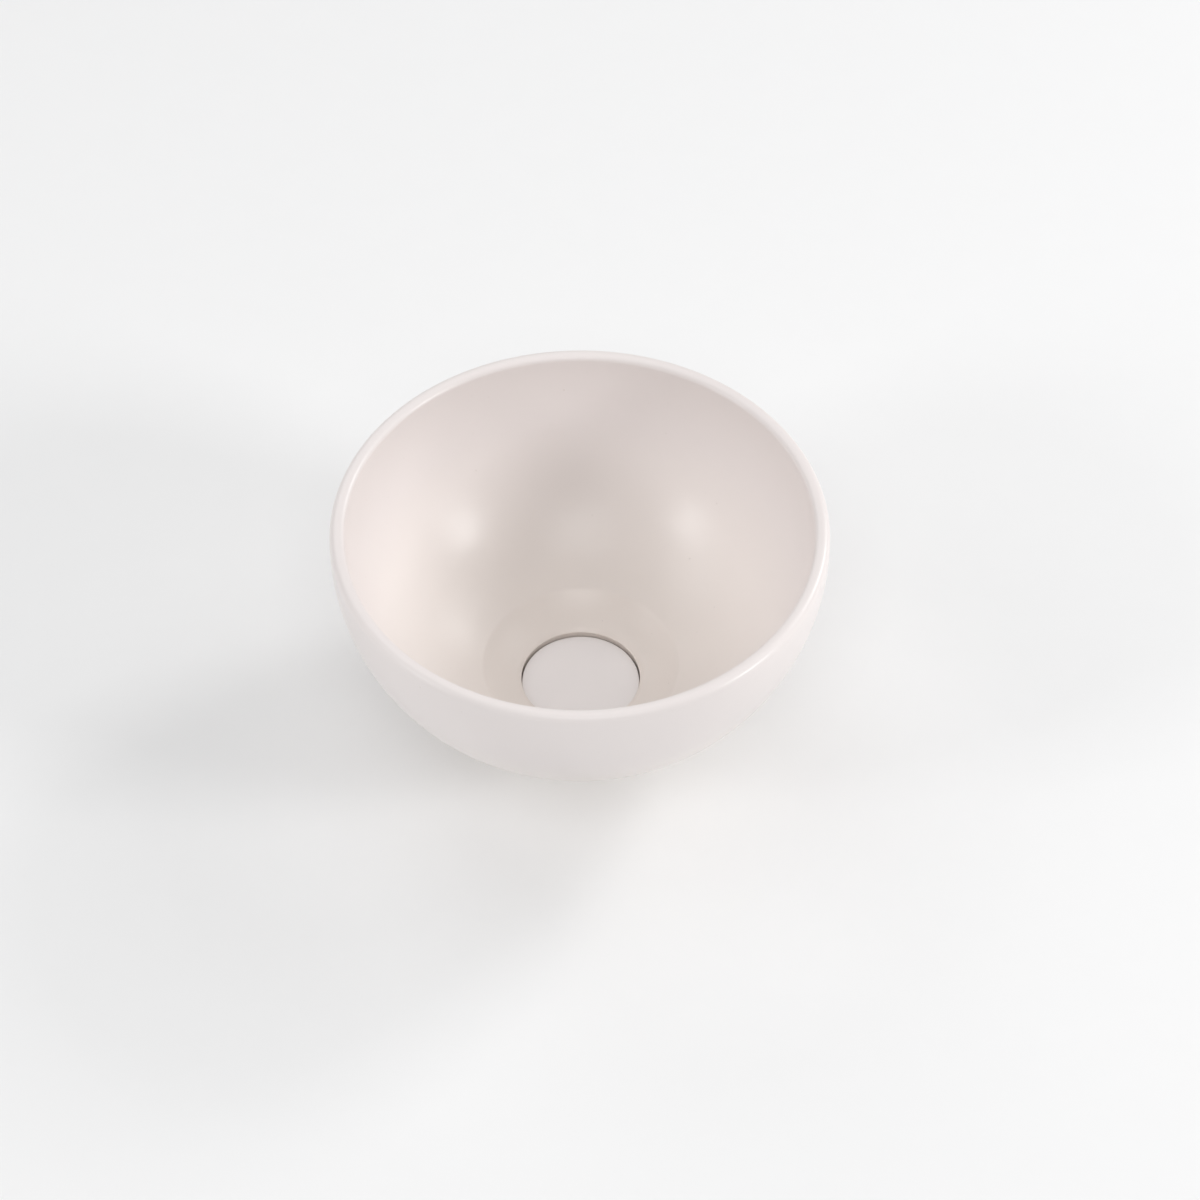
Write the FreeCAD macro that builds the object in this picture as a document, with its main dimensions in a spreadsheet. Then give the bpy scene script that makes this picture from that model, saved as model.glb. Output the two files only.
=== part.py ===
import FreeCAD
import Part
import math
import os
import Sketcher

# Round countertop washbasin with its push-open waste, in millimetres.
# The foot's seat on the countertop is z = 0, +Z is up and the waste runs down the Z axis.

# Sizes on the sheet: name, value, what it measures
SIZES = (
    ("bowl_radius", 140.0, "outside at the widest circle"),
    ("bowl_height", 155.0, "foot seat to rim"),
    ("belly_depth", 8.7, "widest circle below the rim"),
    ("wall_thickness", 8.4, "ceramic wall"),
    ("rim_outer_round", 2.2, "outer edge of the rim"),
    ("rim_inner_round", 3.6, "inner edge of the rim"),
    ("shoulder_radius", 57.0, "ring where the wall turns into the funnel"),
    ("shoulder_round", 12.0, "soft edge of that ring"),
    ("funnel_arc_radius", 60.0, "hollow arc of the funnel"),
    ("lip_radius", 34.8, "edge of the waste recess"),
    ("lip_round", 1.4, "rounding of that edge"),
    ("recess_corner_round", 1.0, "foot of the recess wall"),
    ("hole_margin", 1.795, "hole through the floor round the tail"),
    ("floor_thickness", 8.2, "ceramic under the flange"),
    ("foot_hollow", 2.0, "hollow inside the foot ring"),
    ("foot_radius", 50.0, "foot ring on the countertop"),
    ("foot_height", 26.0, "foot seat to where the foot meets the wall"),
    ("foot_ring_width", 8.0, "seat of the foot ring"),
    ("foot_flare", 3.0, "foot is this much wider where it meets the wall"),
    ("foot_blend", 18.0, "hollow curve between foot and wall"),
    ("foot_edge_round", 1.5, "edges of the foot ring"),
    ("gasket_thickness", 1.0, "flat gasket under the flange"),
    ("gasket_margin", 1.5, "flange stands past its gasket"),
    ("flange_radius", 31.0, "waste flange"),
    ("flange_thickness", 2.5, "waste flange"),
    ("flange_round", 1.0, "upper edge of the flange"),
    ("dish_radius", 23.5, "mouth of the dished flange"),
    ("dish_depth", 2.0, "fall of the dish to the bore"),
    ("dish_round", 1.2, "edge of the dish"),
    ("tail_radius", 20.955, "thread G 1 1/4 on its crests"),
    ("tail_wall", 2.955, "brass round the water way"),
    ("tail_length", 88.0, "flange underside to lower end"),
    ("tail_chamfer", 1.2, "lead into the thread"),
    ("trap_thread_length", 22.0, "free thread for the trap's union nut"),
    ("runout_width", 2.0, "groove above that thread"),
    ("runout_depth", 1.2, "groove above that thread"),
    ("spider_height", 6.0, "height of the cross arms"),
    ("spider_arm_width", 3.0, "width of the cross arms"),
    ("boss_radius", 8.0, "boss in the middle of the cross"),
    ("boss_height", 8.0, "boss in the middle of the cross"),
    ("seal_thickness", 1.3, "cap seal outside its carrier"),
    ("seal_radius", 27.5, "cap seal"),
    ("seal_lip", 0.6, "carrier lip that holds the seal"),
    ("lip_overlap", 2.3, "seal held under the carrier lip"),
    ("cap_thickness", 5.0, "ceramic cap"),
    ("cap_gap", 0.55, "cap to recess wall"),
    ("cap_drop", 2.6, "cap top below the lip"),
    ("cap_edge_round", 0.6, "upper edge of the cap"),
    ("cap_foot_round", 0.4, "lower edge of the cap"),
    ("carrier_radius", 20.2, "brass carrier let into the cap"),
    ("carrier_depth", 2.0, "recess for it in the cap"),
    ("hub_radius", 7.5, "threaded hub of the carrier"),
    ("hub_length", 9.3, "hub below the cap"),
    ("hub_chamfer", 0.6, "lower edge of the hub"),
    ("stem_radius", 4.0, "thread M8 of the plunger stem"),
    ("stem_reach", 9.0, "stem inside the hub"),
    ("stem_chamfer", 0.7, "lead of the stem's thread"),
    ("nut_flats", 13.0, "height lock nut across flats"),
    ("nut_thickness", 4.0, "height lock nut"),
    ("nut_lead", 0.5, "lead into its thread, both faces"),
    ("nut_clearance", 0.8, "lock nut above the latch when closed"),
    ("latch_radius", 8.0, "outside of the latch barrel"),
    ("latch_chamfer", 0.5, "upper edge of the barrel"),
    ("latch_neck_thickness", 3.2, "end wall round the stem"),
    ("latch_land_radius", 4.9, "bore between the guide grooves"),
    ("latch_groove_radius", 6.3, "bore in the guide grooves"),
    ("spanner_flats", 14.0, "flats at the top of the barrel"),
    ("spanner_length", 6.0, "height of the flats"),
    ("wiper_radius", 5.8, "wiper ring in the neck"),
    ("wiper_thickness", 1.6, "wiper ring in the neck"),
    ("plug_travel", 8.0, "rise of the cap from closed to open"),
    ("guide_width", 1.8, "guide ribs on plunger and rotor"),
    ("plunger_head_length", 4.0, "guided head of the plunger"),
    ("spigot_radius", 2.2, "rotor spigot inside the plunger"),
    ("spigot_length", 3.0, "rotor spigot inside the plunger"),
    ("spigot_bore_depth", 3.6, "blind bore in the plunger"),
    ("rotor_height", 3.2, "ribbed ring of the rotor"),
    ("rotor_tail_radius", 2.6, "pin inside the spring"),
    ("rotor_tail_length", 4.0, "pin inside the spring"),
    ("tip_clearance", 0.8, "cam tips above the rotor ribs with the cap pressed home"),
    ("hook_depth", 1.6, "cam notch that holds the closed cap"),
    ("ramp_lead", 112.0, "rise of the cam ramps in a full turn"),
    ("spring_wire_radius", 0.5, "latch spring"),
    ("spring_mean_radius", 4.1, "latch spring"),
    ("spring_length", 9.6, "latch spring with the cap closed"),
    ("base_plug_length", 5.0, "base inside the barrel"),
    ("base_collar_height", 3.0, "base collar on the boss"),
    ("base_stud_radius", 5.0, "thread M10 in the boss"),
    ("base_stud_length", 9.0, "thread M10 in the boss"),
    ("stud_end_round", 0.8, "end of that thread"),
    ("counter_thickness", 30.0, "countertop between foot and gasket"),
    ("cone_gasket_height", 7.0, "rubber gasket under the countertop"),
    ("cone_gasket_radius", 31.0, "its upper face"),
    ("cone_gasket_taper", 5.0, "its lower face is smaller by this"),
    ("washer_thickness", 1.6, "slip washer"),
    ("washer_radius", 29.5, "slip washer"),
    ("back_nut_flats", 50.0, "back nut across flats"),
    ("back_nut_height", 9.0, "back nut"),
    ("back_nut_flange_radius", 29.5, "round face of the back nut"),
    ("back_nut_flange_height", 2.0, "round face of the back nut"),
    ("back_nut_lead", 1.0, "lead into its thread, lower face"),
    ("thread_clearance", 0.08, "round a thread or a running fit"),
    ("sliding_clearance", 0.15, "round the guided ribs"),
    ("face_gap", 0.1, "between faces that only nearly meet"),
    ("overrun", 2.0, "cuts run past the solid by this"),
)

CAM_COUNT = 4
SPRING_TURNS = 5.5
RAMP_START_ANGLE = 54.0
RAMP_END_ANGLE = 81.5
NOTCH_START_ANGLE = 34.0
ROTOR_REST_ANGLE = 67.5
HEX_SIDES = 6
HEX_CHAMFER_ANGLE = 30.0
COUNTER_CLOCKWISE = 1
CLOCKWISE = -1
EDGE_MATCH = 1e-4
DIRECTION_DIGITS = 12


class Length:
    """A size with its value and with the text that binds it to the sheet."""

    def __init__(self, value, text):
        self.value = value
        self.text = text

    def __add__(self, other):
        other = as_length(other)
        return Length(self.value + other.value, f"({self.text} + {other.text})")

    def __sub__(self, other):
        other = as_length(other)
        return Length(self.value - other.value, f"({self.text} - {other.text})")

    def __mul__(self, other):
        other = as_length(other)
        return Length(self.value * other.value, f"({self.text} * {other.text})")

    def __truediv__(self, other):
        other = as_length(other)
        return Length(self.value / other.value, f"({self.text} / {other.text})")

    def __neg__(self):
        return Length(-self.value, f"(0 - {self.text})")


def as_length(value):
    if isinstance(value, Length):
        return value
    return Length(value, repr(value))


def root(value):
    return Length(math.sqrt(value.value), f"sqrt({value.text})")


class Sheet:
    """The spreadsheet, with each alias as an attribute."""

    def __init__(self, doc):
        self.cells = doc.addObject("Spreadsheet::Sheet", "Sizes")
        for row, (name, value, note) in enumerate(SIZES, start=1):
            self.cells.set(f"A{row}", note)
            self.cells.set(f"B{row}", str(value))
            self.cells.setAlias(f"B{row}", name)
        doc.recompute()

    def __getattr__(self, name):
        return Length(float(getattr(self.cells, name)), f"Sizes.{name}")


class Levels:
    """Heights that several pieces share, stacked up from the foot seat."""

    def __init__(self, size):
        self.recess_floor = size.foot_hollow + size.floor_thickness
        self.flange_seat = self.recess_floor + size.gasket_thickness
        self.flange_top = self.flange_seat + size.flange_thickness
        self.cap_underside = self.flange_top + size.seal_thickness
        self.cap_top = self.cap_underside + size.cap_thickness
        self.lip = self.cap_top + size.cap_drop
        self.belly = size.bowl_height - size.belly_depth
        self.hub_end = self.cap_underside - size.hub_length
        self.lock_nut = self.hub_end - size.nut_thickness
        self.latch_top = self.lock_nut - size.nut_clearance
        self.guide_top = self.latch_top - size.latch_neck_thickness
        self.head_top = self.guide_top - size.plug_travel - size.sliding_clearance
        self.head_end = self.head_top - size.plunger_head_length
        self.rotor_top = self.head_end - size.face_gap
        self.cam_tip = self.rotor_top + size.tip_clearance
        self.rotor_end = self.rotor_top - size.rotor_height
        self.spring_end = self.rotor_end - size.spring_length
        self.base_collar = self.spring_end - size.base_plug_length
        self.spider_top = self.base_collar - size.base_collar_height
        self.under_gasket = -size.counter_thickness - size.cone_gasket_height
        self.slip_washer = self.under_gasket - size.washer_thickness
        self.back_nut = self.slip_washer - size.back_nut_height


def bind(feature, prop, length):
    length = as_length(length)
    setattr(feature, prop, length.value)
    feature.setExpression(prop, length.text)


def new_body(doc, name, level=None):
    body = doc.addObject("PartDesign::Body", name)
    body.Label = name
    if level is not None:
        body.Placement.Base = FreeCAD.Vector(0, 0, level.value)
        body.setExpression("Placement.Base.z", level.text)
    return body


def new_sketch(body, name, plane, lift=None, turn=0):
    """Sketch on one of the body's own planes, lifted along its normal or turned about Z."""
    sketch = body.newObject("Sketcher::SketchObject", name)
    origin_plane = next(item for item in body.Origin.OriginFeatures if item.Role == plane)
    sketch.AttachmentSupport = [(origin_plane, "")]
    sketch.MapMode = "FlatFace"
    rotation = FreeCAD.Rotation(FreeCAD.Vector(0, 1, 0), turn)
    sketch.AttachmentOffset = FreeCAD.Placement(FreeCAD.Vector(0, 0, 0), rotation)
    if lift is not None:
        sketch.AttachmentOffset.Base = FreeCAD.Vector(0, 0, lift.value)
        sketch.setExpression("AttachmentOffset.Base.z", lift.text)
    return sketch


def pin_point(sketch, side, end, point):
    """Binds one end of a side to its distances from the sketch's origin."""
    for kind, axis, length in (("DistanceX", -2, point[0]), ("DistanceY", -1, point[1])):
        length = as_length(length)
        if length.text == "0":
            sketch.addConstraint(Sketcher.Constraint("PointOnObject", side, end, axis))
            continue
        index = sketch.addConstraint(Sketcher.Constraint(kind, -1, 1, side, end, length.value))
        sketch.setExpression(f"Constraints[{index}]", length.text)


def add_arc(sketch, start, end, radius, way):
    """Arc of under a half circle that runs the given way from start to end."""
    first, last = (start, end) if way == COUNTER_CLOCKWISE else (end, start)
    half_chord = (last - first) / 2
    rise = math.sqrt(radius.value ** 2 - half_chord.Length ** 2)
    across = FreeCAD.Vector(-half_chord.y, half_chord.x, 0).normalize()
    centre = first + half_chord + across * rise
    angles = [math.atan2(point.y - centre.y, point.x - centre.x) for point in (first, last)]
    circle = Part.Circle(centre, FreeCAD.Vector(0, 0, 1), radius.value)
    side = sketch.addGeometry(Part.ArcOfCircle(circle, angles[0], angles[1]))
    index = sketch.addConstraint(Sketcher.Constraint("Radius", side, radius.value))
    sketch.setExpression(f"Constraints[{index}]", radius.text)
    return side, (1, 2) if way == COUNTER_CLOCKWISE else (2, 1)


def draw(sketch, points, arcs=None):
    """Closed outline through the points; arcs gives a side's radius and way by its number."""
    arcs = arcs or {}
    places = [FreeCAD.Vector(as_length(x).value, as_length(y).value, 0) for x, y in points]
    sides = []
    for number, place in enumerate(places):
        following = places[(number + 1) % len(places)]
        if number in arcs:
            sides.append(add_arc(sketch, place, following, *arcs[number]))
        else:
            sides.append((sketch.addGeometry(Part.LineSegment(place, following)), (1, 2)))
    for number, (side, ends) in enumerate(sides):
        next_side, next_ends = sides[(number + 1) % len(sides)]
        joint = Sketcher.Constraint("Coincident", side, ends[1], next_side, next_ends[0])
        sketch.addConstraint(joint)
        pin_point(sketch, side, ends[0], points[number])
    return sketch


def draw_circle(sketch, radius, centre=(0, 0)):
    place = FreeCAD.Vector(as_length(centre[0]).value, as_length(centre[1]).value, 0)
    circle = Part.Circle(place, FreeCAD.Vector(0, 0, 1), radius.value)
    side = sketch.addGeometry(circle)
    pin_point(sketch, side, 3, centre)
    index = sketch.addConstraint(Sketcher.Constraint("Radius", side, radius.value))
    sketch.setExpression(f"Constraints[{index}]", radius.text)
    return sketch


def turned(body, name, points, arcs=None):
    """Solid turned from an outline of radius and height."""
    sketch = draw(new_sketch(body, f"{name}_outline", "XZ_Plane"), points, arcs)
    feature = body.newObject("PartDesign::Revolution", name)
    feature.Profile = sketch
    feature.ReferenceAxis = (sketch, ["V_Axis"])
    feature.Angle = 360
    sketch.Visibility = False
    return feature


def turned_cut(body, name, points, arcs=None):
    sketch = draw(new_sketch(body, f"{name}_outline", "XZ_Plane"), points, arcs)
    feature = body.newObject("PartDesign::Groove", name)
    feature.Profile = sketch
    feature.ReferenceAxis = (sketch, ["V_Axis"])
    feature.Angle = 360
    sketch.Visibility = False
    return feature


def raised(body, name, sketch, height):
    feature = body.newObject("PartDesign::Pad", name)
    feature.Profile = sketch
    bind(feature, "Length", height)
    return feature


def sunk(body, name, sketch, depth, upwards=False):
    """Pocket from the sketch down the Z axis, or up it."""
    feature = body.newObject("PartDesign::Pocket", name)
    feature.Profile = sketch
    feature.Reversed = upwards
    bind(feature, "Length", depth)
    return feature


def repeated(body, name, feature, count=CAM_COUNT):
    """Copies of the feature, evenly spaced round the Z axis."""
    sketch = feature.Profile[0]
    flat = sketch.AttachmentSupport[0][0].Role == "XY_Plane"
    axis = "N_Axis" if flat else "V_Axis"
    pattern = body.newObject("PartDesign::PolarPattern", name)
    pattern.Originals = [feature]
    pattern.Axis = (sketch, [axis])
    pattern.Angle = 360
    pattern.Occurrences = count
    body.Tip = pattern
    return pattern


def rounded(doc, body, name, radius, circles):
    """Fillet on the round edges that lie at the given radii and heights in the body."""
    doc.recompute()
    base = body.Tip
    edges = []
    for number, edge in enumerate(base.Shape.Edges, start=1):
        if not isinstance(edge.Curve, Part.Circle):
            continue
        for ring_radius, level in circles:
            off_radius = abs(edge.Curve.Radius - as_length(ring_radius).value)
            off_level = abs(edge.Curve.Center.z - as_length(level).value)
            if off_radius < EDGE_MATCH and off_level < EDGE_MATCH:
                edges.append(f"Edge{number}")
    if len(edges) != len(circles):
        raise ValueError(f"{name}: {len(edges)} edges found for {len(circles)} rings")
    fillet = body.newObject("PartDesign::Fillet", name)
    fillet.Base = (base, edges)
    bind(fillet, "Radius", radius)
    doc.recompute()
    return fillet


def other_leg(longest, leg):
    """Third side of a right-angled triangle."""
    return root(longest * longest - leg * leg)


def basin_bowl(doc, size, level):
    """Bowl, rim, funnel, waste recess and foot in one ceramic piece."""
    body = new_body(doc, "basin_bowl")
    foot_top_radius = size.foot_radius + size.foot_flare
    wall_reach = size.bowl_radius - foot_top_radius
    wall_rise = level.belly - size.foot_height
    outer_arc = (wall_reach * wall_reach + wall_rise * wall_rise) / (wall_reach * 2)
    inner_arc = outer_arc - size.wall_thickness
    arc_centre = size.bowl_radius - outer_arc
    rim_outer = arc_centre + other_leg(outer_arc, size.belly_depth)
    rim_inner = arc_centre + other_leg(inner_arc, size.belly_depth)
    shoulder = level.belly - other_leg(inner_arc, size.shoulder_radius - arc_centre)
    foot_inner = size.foot_radius - size.foot_ring_width
    hole = size.tail_radius + size.hole_margin
    points = [
        (foot_inner, 0),
        (size.foot_radius, 0),
        (foot_top_radius, size.foot_height),
        (rim_outer, size.bowl_height),
        (rim_inner, size.bowl_height),
        (size.shoulder_radius, shoulder),
        (size.lip_radius, level.lip),
        (size.lip_radius, level.recess_floor),
        (hole, level.recess_floor),
        (hole, size.foot_hollow),
        (foot_inner, size.foot_hollow),
    ]
    arcs = {
        2: (outer_arc, COUNTER_CLOCKWISE),
        4: (inner_arc, CLOCKWISE),
        5: (size.funnel_arc_radius, CLOCKWISE),
    }
    turned(body, "bowl_section", points, arcs)
    rounded(doc, body, "foot_blend_curve", size.foot_blend,
            [(foot_top_radius, size.foot_height)])
    rounded(doc, body, "shoulder_curve", size.shoulder_round, [(size.shoulder_radius, shoulder)])
    rounded(doc, body, "rim_outer_edge", size.rim_outer_round, [(rim_outer, size.bowl_height)])
    rounded(doc, body, "rim_inner_edge", size.rim_inner_round, [(rim_inner, size.bowl_height)])
    rounded(doc, body, "lip_edge", size.lip_round, [(size.lip_radius, level.lip)])
    rounded(doc, body, "recess_corner", size.recess_corner_round,
            [(size.lip_radius, level.recess_floor)])
    rounded(doc, body, "foot_edges", size.foot_edge_round, [(foot_inner, 0), (size.foot_radius, 0)])
    return body


def waste_cap(doc, size, level):
    """Flat ceramic cap, hollowed underneath for its carrier."""
    body = new_body(doc, "waste_cap", level.cap_underside)
    radius = size.lip_radius - size.cap_gap
    hollow = size.carrier_radius + size.thread_clearance
    points = [
        (0, size.carrier_depth),
        (hollow, size.carrier_depth),
        (hollow, 0),
        (radius, 0),
        (radius, size.cap_thickness),
        (0, size.cap_thickness),
    ]
    turned(body, "cap_section", points)
    rounded(doc, body, "cap_edge", size.cap_edge_round, [(radius, size.cap_thickness)])
    rounded(doc, body, "cap_foot_edge", size.cap_foot_round, [(radius, 0)])
    return body


def cap_carrier(doc, size, level):
    """Brass plate with a threaded hub; its lip holds the seal to the cap."""
    body = new_body(doc, "cap_carrier", level.cap_underside)
    bore = size.stem_radius + size.thread_clearance
    bore_end = size.stem_reach + size.face_gap - size.hub_length
    lip_radius = size.carrier_radius + size.lip_overlap
    lip_top = -(size.seal_thickness - size.seal_lip - size.face_gap)
    lip_end = -(size.seal_thickness - size.face_gap)
    points = [
        (0, bore_end),
        (bore, bore_end),
        (bore, -size.hub_length),
        (size.hub_radius - size.hub_chamfer, -size.hub_length),
        (size.hub_radius, size.hub_chamfer - size.hub_length),
        (size.hub_radius, lip_end),
        (lip_radius, lip_end),
        (lip_radius, lip_top),
        (size.carrier_radius, lip_top),
        (size.carrier_radius, size.carrier_depth),
        (0, size.carrier_depth),
    ]
    turned(body, "carrier_section", points)
    return body


def cap_seal(doc, size, level):
    """Silicone ring between the cap and the flange, stepped round the carrier's lip."""
    body = new_body(doc, "cap_seal", level.flange_top)
    inner = size.carrier_radius + size.thread_clearance
    step = size.carrier_radius + size.lip_overlap + size.thread_clearance
    step_level = size.seal_lip + size.face_gap
    points = [
        (inner, step_level),
        (step, step_level),
        (step, 0),
        (size.seal_radius, 0),
        (size.seal_radius, size.seal_thickness),
        (inner, size.seal_thickness),
    ]
    turned(body, "seal_section", points)
    return body


def direction(angle):
    """Cosine and sine of an angle in degrees, exactly zero where they should be."""
    turn = math.radians(angle)
    return round(math.cos(turn), DIRECTION_DIGITS), round(math.sin(turn), DIRECTION_DIGITS)


def hexagon(body, name, height, corner):
    points = []
    for side in range(HEX_SIDES):
        cosine, sine = direction(360 * side / HEX_SIDES)
        points.append((corner * cosine, corner * sine if sine else 0))
    sketch = draw(new_sketch(body, f"{name}_outline", "XY_Plane"), points)
    return raised(body, name, sketch, height)


def chamfered(body, name, corner, flats, level, overrun):
    """Turns the corners of a hexagon down to its flats at the given face."""
    slope = math.tan(math.radians(HEX_CHAMFER_ANGLE))
    flat_radius = flats / 2
    fall = (corner - flat_radius) * slope
    edge = as_length(level)
    far = corner + (overrun if overrun.value > 0 else -overrun)
    inward = -fall if overrun.value > 0 else fall
    far_inward = inward * ((far - flat_radius) / (corner - flat_radius))
    points = [
        (flat_radius, level),
        (far, edge + far_inward),
        (far, edge + overrun),
        (flat_radius, edge + overrun),
    ]
    return turned_cut(body, name, points)


def bore_lead(body, name, bore, lead, level, overrun):
    """Chamfer into a threaded bore from the given face; the sign of the overrun is its side."""
    edge = as_length(level)
    inward = -lead if overrun.value > 0 else lead
    points = [
        (bore, edge + inward),
        (bore + lead, level),
        (bore + lead, edge + overrun),
        (bore, edge + overrun),
    ]
    return turned_cut(body, name, points)


def height_lock_nut(doc, size, level):
    """Hexagon nut with both faces chamfered, round the corners and into the bore."""
    body = new_body(doc, "height_lock_nut", level.lock_nut)
    bore = size.stem_radius + size.thread_clearance
    corner = size.nut_flats / (2 * math.cos(math.pi / HEX_SIDES))
    hexagon(body, "lock_nut_hexagon", size.nut_thickness, corner)
    circle = draw_circle(new_sketch(body, "lock_nut_bore_circle", "XY_Plane"), bore)
    sunk(body, "lock_nut_bore", circle, size.nut_thickness + size.overrun, upwards=True)
    for face, face_level, beyond in (("upper", size.nut_thickness, size.overrun),
                                     ("lower", 0, -size.overrun)):
        chamfered(body, f"lock_nut_{face}", corner, size.nut_flats, face_level, beyond)
        bore_lead(body, f"lock_nut_{face}_lead", bore, size.nut_lead, face_level, beyond)
    return body


def plunger(doc, size, level):
    """Stem and guided head; the head's ribs run in the latch grooves and its crown is toothed."""
    body = new_body(doc, "plunger", level.head_end)
    land = size.latch_land_radius - size.sliding_clearance
    stem_top = level.hub_end + size.stem_reach - level.head_end
    points = [
        (0, size.spigot_bore_depth),
        (size.spigot_radius + size.thread_clearance, size.spigot_bore_depth),
        (size.spigot_radius + size.thread_clearance, 0),
        (land, 0),
        (land, size.plunger_head_length),
        (size.stem_radius, size.plunger_head_length),
        (size.stem_radius, stem_top - size.stem_chamfer),
        (size.stem_radius - size.stem_chamfer, stem_top),
        (0, stem_top),
    ]
    turned(body, "plunger_section", points)
    guide_ribs(body, "plunger_guides", size, size.plunger_head_length, 0)
    crown_teeth(body, size, land)
    return body


def guide_ribs(body, name, size, height, turn):
    """Four ribs that stand out from a round head into the grooves."""
    reach = size.latch_groove_radius - size.sliding_clearance
    half_width = size.guide_width / 2
    root_radius = (size.latch_land_radius + size.spigot_radius) / 2
    cosine, sine = direction(turn)
    turned_points = []
    for along, across in ((root_radius, -half_width), (reach, -half_width),
                          (reach, half_width), (root_radius, half_width)):
        turned_points.append((along * cosine - across * sine, along * sine + across * cosine))
    sketch = draw(new_sketch(body, f"{name}_outline", "XY_Plane"), turned_points)
    rib = raised(body, f"{name}_rib", sketch, height)
    return repeated(body, name, rib)


def crown_teeth(body, size, land):
    """Notches across the crown, two to each groove, which turn the rotor a step."""
    half_width = size.guide_width / 2
    depth = size.hook_depth / 2
    sketch = new_sketch(body, "crown_outline", "YZ_Plane", size.spigot_radius)
    draw(sketch, [(-half_width, 0), (half_width, 0), (0, depth)])
    notch = body.newObject("PartDesign::Pocket", "crown_notch")
    notch.Profile = sketch
    notch.Reversed = True
    bind(notch, "Length", land)
    repeated(body, "crown_notches", notch, 2 * CAM_COUNT)


def stem_wiper(doc, size, level):
    """Rubber ring in the neck of the latch."""
    body = new_body(doc, "stem_wiper", level.latch_top - size.wiper_thickness)
    bore = size.stem_radius + size.thread_clearance
    points = [
        (bore, 0),
        (size.wiper_radius, 0),
        (size.wiper_radius, size.wiper_thickness),
        (bore, size.wiper_thickness),
    ]
    turned(body, "wiper_section", points)
    return body


def latch_housing(doc, size, level):
    """Barrel whose bore carries guide grooves and the cam ramps under which the rotor catches."""
    body = new_body(doc, "latch_housing", level.base_collar)
    neck_bore = size.stem_radius + size.sliding_clearance
    top = level.latch_top - level.base_collar
    wiper_seat = top - size.wiper_thickness
    neck_underside = top - size.latch_neck_thickness
    cam_tip = level.cam_tip - level.base_collar
    points = [
        (size.latch_groove_radius, 0),
        (size.latch_radius, 0),
        (size.latch_radius, top - size.latch_chamfer),
        (size.latch_radius - size.latch_chamfer, top),
        (size.wiper_radius, top),
        (size.wiper_radius, wiper_seat),
        (neck_bore, wiper_seat),
        (neck_bore, neck_underside),
        (size.latch_land_radius, neck_underside),
        (size.latch_land_radius, cam_tip),
        (size.latch_groove_radius, cam_tip),
    ]
    turned(body, "barrel_section", points)
    groove = groove_cut(body, size, cam_tip, neck_underside)
    repeated(body, "guide_grooves", groove)
    ramp_cut(body, "open_ramps", size, cam_tip, RAMP_START_ANGLE, RAMP_END_ANGLE, size.ramp_lead)
    notch_lead = size.hook_depth * (360 / (RAMP_START_ANGLE - NOTCH_START_ANGLE))
    ramp_cut(body, "closed_notches", size, cam_tip, NOTCH_START_ANGLE, RAMP_START_ANGLE, notch_lead)
    spanner_cuts(body, size, top)
    return body


def groove_cut(body, size, cam_tip, neck_underside):
    """One guide groove, from the cam tips up to the neck."""
    half_width = size.guide_width / 2 + size.sliding_clearance
    sketch = new_sketch(body, "guide_groove_outline", "XY_Plane", cam_tip - size.overrun)
    start = size.latch_land_radius - size.overrun
    draw(sketch, [
        (start, -half_width),
        (size.latch_groove_radius, -half_width),
        (size.latch_groove_radius, half_width),
        (start, half_width),
    ])
    return sunk(body, "guide_groove", sketch, neck_underside - cam_tip + size.overrun, upwards=True)


def ramp_cut(body, name, size, cam_tip, start_angle, end_angle, lead):
    """Cuts the end of each land to a helical ramp that rises from start to end."""
    share_of_turn = (end_angle - start_angle) / 360
    sketch = new_sketch(body, f"{name}_outline", "XZ_Plane", turn=start_angle)
    inner = size.latch_land_radius - size.overrun
    draw(sketch, [
        (inner, cam_tip - lead * share_of_turn - size.overrun),
        (size.latch_groove_radius, cam_tip - lead * share_of_turn - size.overrun),
        (size.latch_groove_radius, cam_tip),
        (inner, cam_tip),
    ])
    ramp = body.newObject("PartDesign::SubtractiveHelix", f"{name}_cut")
    ramp.Profile = sketch
    ramp.ReferenceAxis = (sketch, ["V_Axis"])
    ramp.Mode = 0
    bind(ramp, "Pitch", lead)
    bind(ramp, "Height", lead * share_of_turn)
    repeated(body, name, ramp)


def spanner_cuts(body, size, top):
    """Two flats at the top of the barrel."""
    flat = size.spanner_flats / 2
    far = size.latch_radius + size.overrun
    for name, side in (("front_flat", -1), ("back_flat", 1)):
        sketch = new_sketch(body, f"{name}_outline", "XY_Plane", top + size.overrun)
        draw(sketch, [(-far, flat * side), (far, flat * side), (far, far * side), (-far, far * side)])
        sunk(body, name, sketch, size.spanner_length + size.overrun)


def latch_rotor(doc, size, level):
    """Ribbed ring that turns under the cam ramps, with pins for plunger and spring."""
    body = new_body(doc, "latch_rotor", level.rotor_end)
    land = size.latch_land_radius - size.sliding_clearance
    spigot_top = size.rotor_height + size.spigot_length
    points = [
        (0, -size.rotor_tail_length),
        (size.rotor_tail_radius, -size.rotor_tail_length),
        (size.rotor_tail_radius, 0),
        (land, 0),
        (land, size.rotor_height),
        (size.spigot_radius, size.rotor_height),
        (size.spigot_radius, spigot_top),
        (0, spigot_top),
    ]
    turned(body, "rotor_section", points)
    guide_ribs(body, "rotor_ribs", size, size.rotor_height, ROTOR_REST_ANGLE)
    return body


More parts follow.
